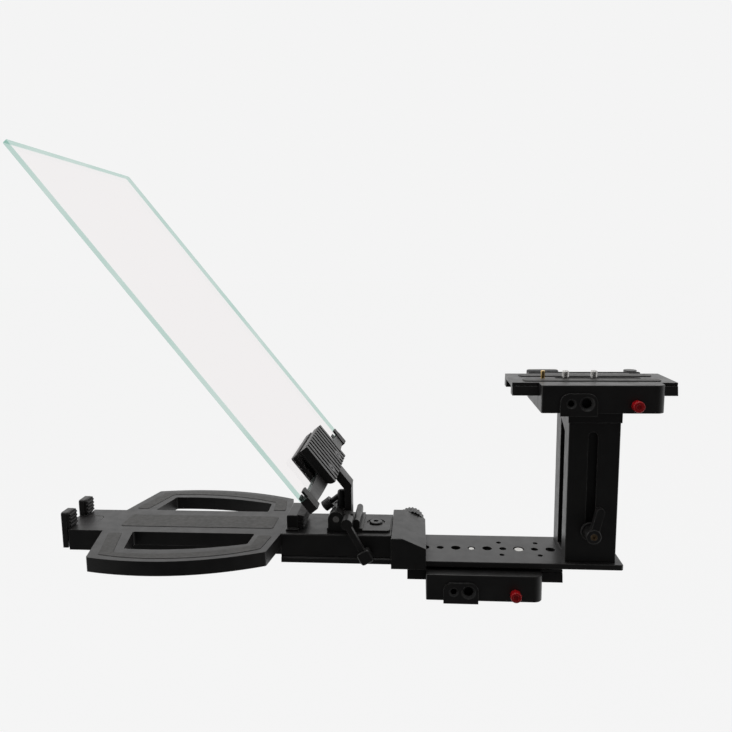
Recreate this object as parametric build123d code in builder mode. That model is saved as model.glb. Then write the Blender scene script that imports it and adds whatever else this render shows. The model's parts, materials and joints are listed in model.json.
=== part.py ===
from build123d import *
import math
import os

# A tripod teleprompter. +X runs back to the camera, -X forward to the talent, +Z up, and the
# model is nearly the same on both sides of the XZ plane. The origin is the mouth of the tripod
# thread, in the middle of the lower adapter's underside. All sizes are in millimetres.

os.makedirs("parts", exist_ok=True)
pieces = {}

# ---------------------------------------------------------------- driving dimensions
# Quick-release adapter, used twice: under the base plate and on top of the riser
adapter_length = 103.4
adapter_front = 41.0  # face with the red button, from the centreline
adapter_back = 34.8
adapter_height = 24.0
adapter_corner = 8.0  # the front face's right end, with the button
adapter_sharp_corner = 1.5  # its left end
adapter_edge = 0.8
upper_adapter_x = 97.6  # the upper adapter's middle

# Sliding dovetail plate, 140 mm long in both adapters
plate_length = 140.0
plate_top_width = 50.2
plate_bottom_width = 54.2
plate_thickness = 11.2
plate_lip = 2.3
plate_sink = 0.3  # top of the plate below the adapter's top
lower_plate_x = 1.3
camera_plate_x = 93.2

# Base plate and its hole row
base_left = -82.7
base_right = 123.1
base_width = 62.0
base_thickness = 5.0
spacer_thickness = 3.4
hole_pitch = 14.7
first_hole_x = -52.6
hole_radii = (4.5, 3.3, 4.5, 3.5, 4.5, 3.3, 5.2, 3.3, 4.5)

# Riser
riser_x = 94.85
riser_length = 44.3
riser_width = 52.8
riser_wall = 4.0
riser_height = 127.7
bracket_top_thickness = 11.6
riser_travel = 85.0
lock_height = 29.7  # lock screw above the base plate

# Coupling block, rail and tray
block_left = -83.2
block_length = 31.5
block_width = 74.0
rail_width = 54.0
rail_left = -185.2
deck_height = 53.9  # top of the rail and of the tray
rail_height = 21.7
bottom_plate_thickness = 5.5
tenon_length = 22.2
tray_left = -388.8
bar_height = 19.8
wing_thickness = 13.0
wing_corner = 2.0
channel_width = 38.0
channel_top = 47.0
slider_travel = 60.0

# Glass
glass_width = 220.4
glass_length = 355.3
glass_thickness = 4.0
glass_angle = 51.8  # slope from the horizontal
glass_foot = (-148.9, 114.7)  # X and Z of the lower edge's middle

# Hinge
hinge_x = -134.5
hinge_z = 66.1
barrel_radius = 7.4
hinge_half_width = 21.0
arm_half_width = 8.6

# Clearances
slide_gap = 0.2  # flat faces that slide on each other
shaft_gap = 0.08  # a shaft in its bore, radial
loose_gap = 0.3  # curved or free faces of different bodies
seat_gap = 0.05  # a screw in its own hole

# ---------------------------------------------------------------- levels and common values
plate_top = adapter_height - plate_sink
plate_bottom = plate_top - plate_thickness
channel_floor = plate_bottom - slide_gap
base_bottom = plate_top + spacer_thickness
base_top = base_bottom + base_thickness
riser_top = base_top + riser_height
upper_z = riser_top + loose_gap + bracket_top_thickness
flank_height = plate_thickness - plate_lip - 0.7
flank_half = plate_top_width / 2 + 0.5
quarter_thread = 3.1
quarter_tap = 2.55
three_eighths_thread = 4.7
three_eighths_tap = 3.97
screw_head = 6.0
quarter_offset = -18.0  # 1/4 inch thread from the 3/8 inch one in an adapter's underside


def across(x):
    """The YZ plane at x: local x is Y, local y is Z, and it extrudes towards +X."""
    return Plane.YZ.offset(x)


def side(y):
    """The XZ plane at y: local x is X, local y is Z, and it extrudes towards -Y."""
    return Plane.XZ.offset(-y)


def level(z):
    return Plane.XY.offset(z)


def coil_spring(start, radius, wire, height):
    """A closed-up spring that sits at the bottom of its bore, on the plane start."""
    with BuildPart() as spring:
        with BuildLine() as path:
            Helix(
                pitch=wire * 1.3,
                height=height,
                radius=radius,
                center=start.origin,
                direction=start.z_dir,
            )
        with BuildSketch(Plane(origin=path.line @ 0, z_dir=path.line % 0)):
            Circle(wire / 2)
        sweep()
    return spring


def countersunk_screws(points, top, radius, length, head_radius):
    """Identical screws with flush heads, heads on the plane top, shanks against its normal."""
    with BuildPart() as screws:
        with BuildSketch(top):
            with Locations(*points):
                Circle(head_radius)
        extrude(amount=-(head_radius - radius), taper=45)
        with BuildSketch(top):
            with Locations(*points):
                Circle(radius)
        extrude(amount=-length)
        with BuildSketch(top):
            with Locations(*points):
                RegularPolygon(radius * 0.75, 6)
        extrude(amount=-(head_radius - radius), mode=Mode.SUBTRACT)
    return screws


# ---------------------------------------------------------------- quick-release adapter
button_x = 27.5
button_z = 6.6
button_radius = 4.82
button_proud = 6.5
button_travel = 3.0
button_depth = 3.0
bore_depth = 12.0
jaw_length = 80.0
jaw_outer = 29.8
pocket_wall = 31.2
jaw_stem_x = 30.3
jaw_stem_z = 16.0
jaw_stem_radius = 3.12
lever_pivot_x = 45.3
lever_pivot_y = 41.2
lever_pin_radius = 2.5
lever_lug_top = 9.0
boss_proud = 1.5
boss_left = -36.2
boss_right = -5.2
boss_top = 17.0
boss_drop = 2.5
small_thread_x = -27.0
large_thread_x = -13.8
boss_thread_z = 8.2
small_lead = 1.6  # chamfers at the mouths of the threads
large_lead = 2.3


def adapter_body(x, z):
    """The clamp's body: dovetail channel, arch boss with two threads, lug with the lever's pin."""
    left = x - adapter_length / 2
    lug_length = 12.0
    with BuildPart() as body:
        with BuildSketch(level(z)):
            with Locations((x, (adapter_back - adapter_front) / 2)):
                Rectangle(adapter_length, adapter_front + adapter_back)
        extrude(amount=adapter_height)
        front_edges = body.edges().filter_by(Axis.Z).group_by(Axis.Y)[0].sort_by(Axis.X)
        fillet(front_edges[-1], adapter_corner)
        front_edges = body.edges().filter_by(Axis.Z).group_by(Axis.Y)[0].sort_by(Axis.X)
        fillet(front_edges[0], adapter_sharp_corner)
        fillet(body.faces().sort_by(Axis.Z)[-1].edges(), adapter_edge)
        # Channel: fixed dovetail in front, straight pocket wall behind for the jaw
        with BuildSketch(across(left)):
            near_flank = flank_half + slide_gap
            near_lip = plate_top_width / 2 + loose_gap
            Polygon(
                (-plate_bottom_width / 2 - slide_gap, z + channel_floor),
                (pocket_wall, z + channel_floor),
                (pocket_wall, z + adapter_height + 1),
                (-near_lip, z + adapter_height + 1),
                (-near_lip, z + plate_bottom + flank_height + slide_gap),
                (-near_flank, z + plate_bottom + flank_height + slide_gap),
                align=None,
            )
        extrude(amount=adapter_length, mode=Mode.SUBTRACT)
        # Arch boss on the front face
        boss_width = boss_right - boss_left
        boss_height = boss_top + boss_drop
        with BuildSketch(side(-adapter_front - boss_proud)):
            with Locations((x + (boss_left + boss_right) / 2, z + (boss_top - boss_drop) / 2)):
                arch = Rectangle(boss_width, boss_height)
            fillet(arch.vertices().group_by(Axis.Y)[-1], 8.0)
        extrude(amount=-boss_proud - 2.0)
        # Threads in the boss, and their lead-in chamfers
        for thread_x, tap, lead in (
            (small_thread_x, quarter_tap, small_lead),
            (large_thread_x, three_eighths_tap, large_lead),
        ):
            with BuildSketch(side(-adapter_front - boss_proud)):
                with Locations((x + thread_x, z + boss_thread_z)):
                    Circle(tap)
            extrude(amount=-10.0, mode=Mode.SUBTRACT)
            with BuildSketch(side(-adapter_front - boss_proud)):
                with Locations((x + thread_x, z + boss_thread_z)):
                    Circle(tap + lead)
            extrude(amount=-lead, taper=45, mode=Mode.SUBTRACT)
        # Threads in the underside
        with BuildSketch(level(z)):
            with Locations((x, 0)):
                Circle(three_eighths_tap)
            with Locations((x + quarter_offset, 0)):
                Circle(quarter_tap)
        extrude(amount=10.0, mode=Mode.SUBTRACT)
        # Bore of the red button, and of the jaw's stem
        with BuildSketch(side(-adapter_front)):
            with Locations((x + button_x, z + button_z)):
                Circle(button_radius + shaft_gap)
        extrude(amount=-bore_depth, mode=Mode.SUBTRACT)
        with BuildSketch(side(adapter_back)):
            with Locations((x + jaw_stem_x, z + jaw_stem_z)):
                Circle(jaw_stem_radius + shaft_gap)
        extrude(amount=adapter_back - pocket_wall, mode=Mode.SUBTRACT)
        # Lug behind the body, with the lever's pin standing on it
        with BuildSketch(level(z + 2.0)):
            with Locations((x + lever_pivot_x, (adapter_back + lever_pivot_y + 5.0) / 2 - 0.5)):
                Rectangle(lug_length, lever_pivot_y + 6.0 - adapter_back)
        extrude(amount=lever_lug_top - 2.0)
        with BuildSketch(level(z + lever_lug_top)):
            with Locations((x + lever_pivot_x, lever_pivot_y)):
                Circle(lever_pin_radius)
        extrude(amount=12.0)
    return body


def adapter_jaw(x, z):
    """The moving dovetail jaw behind the plate, with the stem that the lever bears on."""
    with BuildPart() as jaw:
        with BuildSketch(across(x - jaw_length / 2)):
            lip = plate_top_width / 2 + loose_gap
            Polygon(
                (plate_bottom_width / 2 + slide_gap, z + plate_bottom),
                (jaw_outer, z + plate_bottom),
                (jaw_outer, z + adapter_height - 0.5),
                (lip, z + adapter_height - 0.5),
                (lip, z + plate_bottom + flank_height + slide_gap),
                (flank_half + slide_gap, z + plate_bottom + flank_height + slide_gap),
                align=None,
            )
        extrude(amount=jaw_length)
        with BuildSketch(side(jaw_outer - 1.0)):
            with Locations((x + jaw_stem_x, z + jaw_stem_z)):
                Circle(jaw_stem_radius)
        extrude(amount=-(lever_pivot_y - 3.0 - jaw_outer + 1.0))
    return jaw


def adapter_lever(x, z):
    """The lock lever that lies along the adapter's back, hub at one end, thumb piece at the other."""
    hub_bottom = lever_lug_top + loose_gap
    arm_y = lever_pivot_y
    with BuildPart() as lever:
        with BuildSketch(level(z + hub_bottom)):
            with Locations((x + lever_pivot_x, lever_pivot_y)):
                Circle(6.0)
        extrude(amount=adapter_height + 0.6 - hub_bottom)
        with BuildSketch(level(z + 10.0)):
            with Locations((x + (lever_pivot_x - 45.0) / 2, arm_y)):
                Rectangle(lever_pivot_x + 45.0, 5.2)
        extrude(amount=10.0)
        with BuildSketch(level(z + hub_bottom)):
            with Locations((x - adapter_length / 2 + 15.0, arm_y + 1.0)):
                RectangleRounded(30.0, 9.0, 4.0)
        extrude(amount=adapter_height + 0.8 - hub_bottom)
        fillet(lever.faces().sort_by(Axis.Z)[-1].edges(), 1.5)
        with BuildSketch(level(z + hub_bottom)):
            with Locations((x + lever_pivot_x, lever_pivot_y)):
                Circle(lever_pin_radius + shaft_gap)
        extrude(amount=12.3, mode=Mode.SUBTRACT)
    return lever


def safety_button(x, z):
    """The red plunger, domed at its outer end."""
    with BuildPart() as button:
        with BuildSketch(side(-adapter_front + button_depth)):
            with Locations((x + button_x, z + button_z)):
                Circle(button_radius)
        extrude(amount=button_depth + button_proud)
        fillet(button.faces().sort_by(Axis.Y)[0].edges(), 1.0)
        with BuildSketch(side(-adapter_front - button_proud)):
            with Locations((x + button_x, z + button_z)):
                Circle(2.6)
        extrude(amount=-1.2, taper=30, mode=Mode.SUBTRACT)
    return button


def button_spring(x, z):
    seat = Plane(
        origin=(x + button_x, -adapter_front + bore_depth - 0.5, z + button_z), z_dir=(0, -1, 0)
    )
    return coil_spring(seat, 3.2, 0.8, 2.4)


for name, x, z in (("lower", 0.0, 0.0), ("upper", upper_adapter_x, upper_z)):
    pieces[f"{name}_adapter_body"] = adapter_body(x, z)
    pieces[f"{name}_clamp_jaw"] = adapter_jaw(x, z)
    pieces[f"{name}_lock_lever"] = adapter_lever(x, z)
    pieces[f"{name}_safety_button"] = safety_button(x, z)
    pieces[f"{name}_button_spring"] = button_spring(x, z)


# ---------------------------------------------------------------- sliding plates
slot_half = quarter_thread + 0.3
plate_roof = 4.0  # thickness above the open channel of the underside
plate_channel_half = 16.0
head_height = 3.2
pin_boss_radius = 4.4
pad_width = 12.0
pad_length = 118.0
pad_offset = 13.0
pad_recess = 0.6
pad_proud = 0.7
pin_x = 53.7
pin_radius = 1.85
pin_proud = 6.8
pin_below = 4.4
pin_travel = 4.8
pin_collar_radius = 2.2
neck_radius = 2.3
camera_screw_x = (73.8, 98.8)
base_quarter_x = first_hole_x + 3 * hole_pitch
base_three_eighths_x = first_hole_x + 6 * hole_pitch


def sliding_plate(x, top):
    """Dovetail plate: open channel below, central screw slot, two scallops in the front edge."""
    half_top = plate_top_width / 2
    half_bottom = plate_bottom_width / 2
    with BuildPart() as plate:
        with BuildSketch(across(x - plate_length / 2)):
            for turn in (1, -1):
                Polygon(
                    (0, top),
                    (turn * half_top, top),
                    (turn * half_top, top - plate_lip),
                    (turn * (half_top - 0.6), top - plate_lip),
                    (turn * (half_top - 0.6), top - plate_lip - 0.7),
                    (turn * flank_half, top - plate_lip - 0.7),
                    (turn * half_bottom, top - plate_thickness),
                    (0, top - plate_thickness),
                    align=None,
                )
        extrude(amount=plate_length)
        with BuildSketch(level(top)):
            with Locations((x + 9.0, 0)):
                SlotOverall(76.0, 2 * slot_half)
        extrude(amount=-plate_thickness, mode=Mode.SUBTRACT)
        with BuildSketch(level(top - plate_thickness)):
            with Locations((x, 0)):
                Rectangle(plate_length, 2 * plate_channel_half)
        extrude(amount=plate_thickness - plate_roof, mode=Mode.SUBTRACT)
        with BuildSketch(level(top)):
            with Locations((x - 17.0, -half_top), (x + 27.0, -half_top)):
                SlotOverall(22.5, 5.0)
        extrude(amount=-1.0, mode=Mode.SUBTRACT)
    return plate


with BuildPart() as lower_sliding_plate:
    add(sliding_plate(lower_plate_x, plate_top).part)
    with BuildSketch(level(plate_top)):
        with Locations((base_three_eighths_x, 0)):
            Circle(three_eighths_thread + 0.3)
    extrude(amount=-plate_thickness, mode=Mode.SUBTRACT)
pieces["lower_sliding_plate"] = lower_sliding_plate

camera_top = upper_z + plate_top
camera_bottom = camera_top - plate_thickness
with BuildPart() as camera_plate:
    add(sliding_plate(camera_plate_x, camera_top).part)
    with BuildSketch(level(camera_top)):
        with Locations((camera_plate_x, pad_offset), (camera_plate_x, -pad_offset)):
            RectangleRounded(pad_length, pad_width, 3.0)
    extrude(amount=-pad_recess, mode=Mode.SUBTRACT)
    # Blind bore of the video pin, in a boss that hangs in the channel
    with BuildSketch(level(camera_bottom)):
        with Locations((pin_x, 0)):
            Circle(pin_boss_radius)
    extrude(amount=plate_thickness - plate_roof / 2)
    with BuildSketch(level(camera_top)):
        with Locations((pin_x, 0)):
            Circle(pin_collar_radius + shaft_gap)
    extrude(amount=-(pin_below + pin_travel + 1.6), mode=Mode.SUBTRACT)
pieces["camera_plate"] = camera_plate

with BuildPart() as camera_plate_pads:
    with BuildSketch(level(camera_top - pad_recess)):
        with Locations((camera_plate_x, pad_offset), (camera_plate_x, -pad_offset)):
            RectangleRounded(pad_length, pad_width, 3.0)
    extrude(amount=pad_recess + pad_proud)
pieces["camera_plate_pads"] = camera_plate_pads

with BuildPart() as video_pin:
    with BuildSketch(level(camera_top - pin_below)):
        with Locations((pin_x, 0)):
            Circle(pin_collar_radius)
    extrude(amount=pin_below)
    with BuildSketch(level(camera_top)):
        with Locations((pin_x, 0)):
            Circle(pin_radius)
    extrude(amount=pin_proud)
    fillet(video_pin.faces().sort_by(Axis.Z)[-1].edges(), 0.6)
pieces["video_pin"] = video_pin
pin_seat = Plane(origin=(pin_x, 0, camera_top - pin_below - pin_travel - 1.3))
pieces["video_pin_spring"] = coil_spring(pin_seat, 1.5, 0.5, 0.7)

head_bottom = camera_top - plate_roof - loose_gap - head_height
for place, screw_x in zip(("front", "rear"), camera_screw_x):
    with BuildPart() as camera_screw:
        with BuildSketch(level(head_bottom)):
            with Locations((screw_x, 0)):
                Circle(screw_head)
        extrude(amount=head_height)
        with BuildSketch(level(head_bottom)):
            with Locations((screw_x, 0)):
                Circle(neck_radius)
        extrude(amount=camera_top + 0.5 - head_bottom)
        with BuildSketch(level(camera_top + 0.4)):
            with Locations((screw_x, 0)):
                Circle(quarter_thread)
        extrude(amount=pin_proud - 0.4)
        chamfer(camera_screw.faces().sort_by(Axis.Z)[-1].edges(), 0.6)
        # Coin slot in the head
        with BuildSketch(level(head_bottom)):
            with Locations((screw_x, 0)):
                Rectangle(2 * screw_head + 1, 1.4)
        extrude(amount=1.6, mode=Mode.SUBTRACT)
    pieces[f"camera_screw_{place}"] = camera_screw


# ---------------------------------------------------------------- base plate
block_right = block_left + block_length
riser_screw_points = [
    (riser_x + dx, dy) for dx in (-14.0, 14.0) for dy in (-16.0, 16.0)
]
riser_screw_radius = 2.5
block_screw_x = block_right - 4.6
block_screw_points = [(block_screw_x, dy) for dy in (-20.0, 0.0, 20.0)]
block_screw_radius = 2.0
small_hole_x = (18.5, 53.3)
small_hole_y = 14.0
spacer_length = 122.0

with BuildPart() as base_plate:
    with BuildSketch(level(base_bottom)):
        with Locations(((base_left + base_right) / 2, 0)):
            Rectangle(base_right - base_left, base_width)
    extrude(amount=base_thickness)
    chamfer(base_plate.edges().filter_by(Axis.Z).group_by(Axis.X)[-1], 1.5)
    chamfer(base_plate.faces().sort_by(Axis.Z)[-1].edges(), 0.4)
    for index, radius in enumerate(hole_radii):
        with BuildSketch(level(base_bottom)):
            with Locations((first_hole_x + index * hole_pitch, 0)):
                Circle(radius)
        extrude(amount=base_thickness, mode=Mode.SUBTRACT)
    with BuildSketch(level(base_bottom)):
        for x in small_hole_x:
            with Locations((x, small_hole_y), (x, -small_hole_y)):
                Circle(2.4)
    extrude(amount=base_thickness, mode=Mode.SUBTRACT)
    # Countersunk screws from below hold the riser and the coupling block
    for points, radius in (
        (riser_screw_points, riser_screw_radius),
        (block_screw_points, block_screw_radius),
    ):
        with BuildSketch(level(base_bottom)):
            with Locations(*points):
                Circle(radius + seat_gap)
        extrude(amount=base_thickness, mode=Mode.SUBTRACT)
        with BuildSketch(level(base_bottom)):
            with Locations(*points):
                Circle(2 * radius + seat_gap)
        extrude(amount=radius, taper=45, mode=Mode.SUBTRACT)
pieces["base_plate"] = base_plate

with BuildPart() as base_spacer:
    with BuildSketch(level(plate_top)):
        with Locations((lower_plate_x, 0)):
            RectangleRounded(spacer_length, 44.0, 3.0)
        with Locations((base_quarter_x, 0)):
            Circle(quarter_thread + 0.3, mode=Mode.SUBTRACT)
        with Locations((base_three_eighths_x, 0)):
            Circle(three_eighths_thread + 0.3, mode=Mode.SUBTRACT)
    extrude(amount=spacer_thickness)
pieces["base_spacer"] = base_spacer

base_head_bottom = plate_top - plate_roof - head_height
for name, screw_x, radius in (
    ("base_screw_quarter", base_quarter_x, quarter_thread),
    ("base_screw_three_eighths", base_three_eighths_x, three_eighths_thread),
):
    with BuildPart() as base_screw:
        with BuildSketch(level(base_head_bottom)):
            with Locations((screw_x, 0)):
                Circle(screw_head)
        extrude(amount=head_height)
        with BuildSketch(level(base_head_bottom)):
            with Locations((screw_x, 0)):
                Circle(radius)
        extrude(amount=base_top - 0.4 - base_head_bottom)
        chamfer(base_screw.faces().sort_by(Axis.Z)[-1].edges(), 0.5)
    pieces[name] = base_screw

below = Plane(origin=(0, 0, base_bottom), x_dir=(1, 0, 0), z_dir=(0, 0, -1))
pieces["riser_screws"] = countersunk_screws(
    [(x, -y) for x, y in riser_screw_points],
    below,
    riser_screw_radius,
    base_thickness + 4.5,
    2 * riser_screw_radius,
)
pieces["coupling_screws"] = countersunk_screws(
    [(x, -y) for x, y in block_screw_points],
    below,
    block_screw_radius,
    base_thickness + 8.0,
    2 * block_screw_radius,
)


# ---------------------------------------------------------------- riser
lock_z = base_top + lock_height
lock_x = riser_x - 1.2
slot_width = 8.3
open_slot_width = 17.0
open_slot_y = -2.0
gusset_height = 11.0
riser_floor = 5.0
lock_screw_radius = 2.4
washer_radius = 8.5
washer_thickness = 2.5
inner_gap = 0.25
inner_wall = 3.0
leg_bottom = base_top + 18.0
column_front = riser_width / 2

with BuildPart() as riser_column:
    with BuildSketch(level(base_top)):
        with Locations((riser_x, 0)):
            Rectangle(riser_length, riser_width)
    extrude(amount=riser_height)
    fillet(riser_column.edges().filter_by(Axis.Z), 1.0)
    with BuildSketch(level(base_top + riser_floor)):
        with Locations((riser_x, 0)):
            Rectangle(riser_length - 2 * riser_wall, riser_width - 2 * riser_wall)
    extrude(amount=riser_height, mode=Mode.SUBTRACT)
    # Open slot down the left face
    with BuildSketch(level(base_top + riser_floor)):
        with Locations((riser_x - riser_length / 2, open_slot_y)):
            Rectangle(3 * riser_wall, open_slot_width)
    extrude(amount=riser_height, mode=Mode.SUBTRACT)
    # Gusset across the top of that slot
    slot_near = open_slot_y - open_slot_width / 2
    with BuildSketch(across(riser_x - riser_length / 2)):
        Polygon(
            (slot_near, base_top + riser_height),
            (slot_near + open_slot_width, base_top + riser_height),
            (slot_near + open_slot_width, base_top + riser_height - 2.0),
            (slot_near, base_top + riser_height - gusset_height),
            align=None,
        )
    extrude(amount=riser_wall)
    # Long slot in the front face, from just below the lock screw to near the top
    slot_low = lock_z - slot_width / 2
    slot_high = lock_z + riser_travel + slot_width / 2 + 1.0
    with BuildSketch(side(-column_front)):
        with Locations((lock_x, (slot_low + slot_high) / 2)):
            SlotOverall(slot_high - slot_low, slot_width, rotation=90)
    extrude(amount=-riser_wall, mode=Mode.SUBTRACT)
    with BuildSketch(level(base_top)):
        with Locations(*riser_screw_points):
            Circle(riser_screw_radius + seat_gap)
    extrude(amount=riser_floor, mode=Mode.SUBTRACT)
pieces["riser_column"] = riser_column

inner_length = riser_length - 2 * riser_wall - 2 * inner_gap
inner_width = riser_width - 2 * riser_wall - 2 * inner_gap
bracket_bottom = upper_z - bracket_top_thickness
with BuildPart() as riser_inner_bracket:
    with BuildSketch(level(leg_bottom)):
        with Locations((riser_x, 0)):
            Rectangle(inner_length, inner_width)
            Rectangle(
                inner_length - 2 * inner_wall, inner_width - 2 * inner_wall, mode=Mode.SUBTRACT
            )
        with Locations((riser_x - inner_length / 2, open_slot_y)):
            Rectangle(4 * inner_wall, open_slot_width + 2, mode=Mode.SUBTRACT)
    extrude(amount=bracket_bottom - leg_bottom)
    with BuildSketch(level(bracket_bottom)):
        with Locations((riser_x, 0)):
            Rectangle(riser_length + 1.6, riser_width + 1.2)
    extrude(amount=bracket_top_thickness)
    # Threaded boss for the lock screw behind the front wall
    with BuildSketch(side(-inner_width / 2)):
        with Locations((lock_x, lock_z)):
            Circle(7.0)
    extrude(amount=-8.0)
    with BuildSketch(side(-inner_width / 2)):
        with Locations((lock_x, lock_z)):
            Circle(lock_screw_radius + shaft_gap)
    extrude(amount=-8.0, mode=Mode.SUBTRACT)
    # Holes for the two screws up into the adapter's threads, heads let in from below
    for x, radius in (
        (upper_adapter_x, three_eighths_tap),
        (upper_adapter_x + quarter_offset, quarter_tap),
    ):
        with BuildSketch(level(bracket_bottom)):
            with Locations((x, 0)):
                Circle(radius + seat_gap)
        extrude(amount=bracket_top_thickness, mode=Mode.SUBTRACT)
        with BuildSketch(level(bracket_bottom)):
            with Locations((x, 0)):
                Circle(screw_head + 1.0)
        extrude(amount=5.0, mode=Mode.SUBTRACT)
pieces["riser_inner_bracket"] = riser_inner_bracket

with BuildPart() as upper_adapter_screws:
    for x, radius in (
        (upper_adapter_x, three_eighths_tap - seat_gap),
        (upper_adapter_x + quarter_offset, quarter_tap - seat_gap),
    ):
        with BuildSketch(level(bracket_bottom + 1.0)):
            with Locations((x, 0)):
                Circle(screw_head)
                RegularPolygon(2.6, 6, mode=Mode.SUBTRACT)
        extrude(amount=3.0)
        with BuildSketch(level(bracket_bottom + 4.0)):
            with Locations((x, 0)):
                Circle(screw_head)
        extrude(amount=1.0)
        with BuildSketch(level(bracket_bottom + 5.0)):
            with Locations((x, 0)):
                Circle(radius)
        extrude(amount=bracket_top_thickness - 5.0 + 9.0)
pieces["upper_adapter_screws"] = upper_adapter_screws

# Lock lever, its washer and the screw they turn on, in the slot of the front face
washer_back = -column_front - loose_gap
hub_back = washer_back - washer_thickness
hub_length = 12.5
hub_front = hub_back - hub_length
hub_radius = 6.4
lever_head_radius = 2.95
lever_head_sink = 2.2
lever_reach = 22.6
lever_lean = 13.6  # degrees from upright
screw_end = -inner_width / 2 + 6.0
with BuildPart() as riser_lock_washer:
    with BuildSketch(side(washer_back)):
        with Locations((lock_x, lock_z)):
            Circle(washer_radius)
            Circle(lock_screw_radius + seat_gap, mode=Mode.SUBTRACT)
    extrude(amount=washer_thickness)
    chamfer(riser_lock_washer.faces().sort_by(Axis.Y)[0].edges().sort_by(SortBy.LENGTH)[-1], 0.6)
pieces["riser_lock_washer"] = riser_lock_washer

with BuildPart() as riser_lock_lever:
    with BuildSketch(side(hub_back)):
        with Locations((lock_x, lock_z)):
            Circle(hub_radius)
    extrude(amount=hub_length)
    lean = math.radians(lever_lean)
    middle_x = lock_x + lever_reach / 2 * math.sin(lean)
    middle_z = lock_z + lever_reach / 2 * math.cos(lean)
    with BuildSketch(side(hub_front + 7.0)):
        with Locations((middle_x, middle_z)):
            SlotCenterToCenter(lever_reach, 6.8, rotation=90 - lever_lean)
    extrude(amount=6.0)
    fillet(riser_lock_lever.faces().sort_by(Axis.Y)[0].edges(), 0.8)
    with BuildSketch(side(hub_back)):
        with Locations((lock_x, lock_z)):
            Circle(lock_screw_radius + seat_gap)
    extrude(amount=hub_length, mode=Mode.SUBTRACT)
    with BuildSketch(side(hub_front + lever_head_sink)):
        with Locations((lock_x, lock_z)):
            Circle(lever_head_radius + seat_gap)
    extrude(amount=lever_head_sink + 1, mode=Mode.SUBTRACT)
pieces["riser_lock_lever"] = riser_lock_lever

with BuildPart() as riser_lever_screw:
    with BuildSketch(side(hub_front + lever_head_sink)):
        with Locations((lock_x, lock_z)):
            Circle(lever_head_radius)
            RegularPolygon(1.5, 6, mode=Mode.SUBTRACT)
    extrude(amount=lever_head_sink)
    with BuildSketch(side(hub_front + lever_head_sink - 0.6)):
        with Locations((lock_x, lock_z)):
            Circle(lock_screw_radius)
    extrude(amount=hub_front + lever_head_sink - 0.6 - screw_end)
pieces["riser_lever_screw"] = riser_lever_screw


# ---------------------------------------------------------------- coupling block and its knob
block_bottom = 26.5
block_top = 55.3
block_low_end = 46.0
block_flat = 10.3
tenon_half = 25.0
tenon_bottom = base_top + loose_gap
tenon_top = 47.0
knob_x = -66.0
knob_z = 40.0
knob_shaft_radius = 3.0
knob_radius = 13.5
knob_length = 12.0
knob_flutes = 24
pocket_right = block_left + tenon_length - 0.3 + 0.5

with BuildPart() as coupling_block:
    with BuildSketch(side(-block_width / 2)):
        Polygon(
            (block_left, block_bottom),
            (block_right, block_bottom),
            (block_right, block_low_end),
            (block_left + block_flat, block_top),
            (block_left, block_top),
            align=None,
        )
    extrude(amount=-block_width)
    chamfer(coupling_block.faces().sort_by(Axis.Z)[-1].edges(), 0.6)
    # The base plate lies in the underside, the rail's tenon slides in above it
    with BuildSketch(across(block_left)):
        with Locations((0, (block_bottom - 1 + base_top) / 2)):
            Rectangle(base_width + 2 * slide_gap, base_top - block_bottom + 1)
    extrude(amount=block_length, mode=Mode.SUBTRACT)
    with BuildSketch(across(block_left)):
        with Locations((0, (base_top + tenon_top + slide_gap) / 2)):
            Rectangle(2 * (tenon_half + slide_gap), tenon_top + slide_gap - base_top)
    extrude(amount=pocket_right - block_left, mode=Mode.SUBTRACT)
    with BuildSketch(level(base_top)):
        with Locations(*block_screw_points):
            Circle(block_screw_radius + seat_gap)
    extrude(amount=8.5, mode=Mode.SUBTRACT)
    with BuildSketch(side(block_width / 2)):
        with Locations((knob_x, knob_z)):
            Circle(knob_shaft_radius + shaft_gap)
    extrude(amount=block_width / 2 - tenon_half, mode=Mode.SUBTRACT)
pieces["coupling_block"] = coupling_block

knob_face = block_width / 2 + 0.4
with BuildPart() as coupling_knob:
    with BuildSketch(side(knob_face)):
        with Locations((knob_x, knob_z)):
            Circle(knob_radius)
        with Locations((knob_x, knob_z)):
            with PolarLocations(knob_radius + 0.6, knob_flutes):
                Circle(1.3, mode=Mode.SUBTRACT)
    extrude(amount=-knob_length)
    with BuildSketch(side(knob_face + 0.5)):
        with Locations((knob_x, knob_z)):
            Circle(knob_shaft_radius)
    extrude(amount=knob_face + 0.5 - tenon_half - 0.4)
pieces["coupling_knob"] = coupling_knob


# ---------------------------------------------------------------- rail
rail_right = block_left - loose_gap
rail_bottom = deck_height - rail_height
rail_half = rail_width / 2
channel_half = channel_width / 2
hollow_right = -112.0
tenon_right = rail_right + tenon_length
carriage_screw_x = -98.7
carriage_screw_radius = 3.0
bar_bottom = 36.8
bar_left = -285.0
bar_right = -118.0
bar_screw_radius = 2.0
bar_screw_head = 3.6
tray_bar_screws = ((-272.0, 0.0), (-205.0, 0.0))
rail_bar_screws = ((-152.0, 0.0), (-128.0, 0.0))
jaw_screws = ((-176.0, 10.0), (-176.0, -10.0))
plate_screw_radius = 1.5
wall_middle = (channel_half + rail_half) / 2
rail_plate_screws = [(x, y) for x in (-176.0, -134.0, -92.0) for y in (-wall_middle, wall_middle)]

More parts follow.
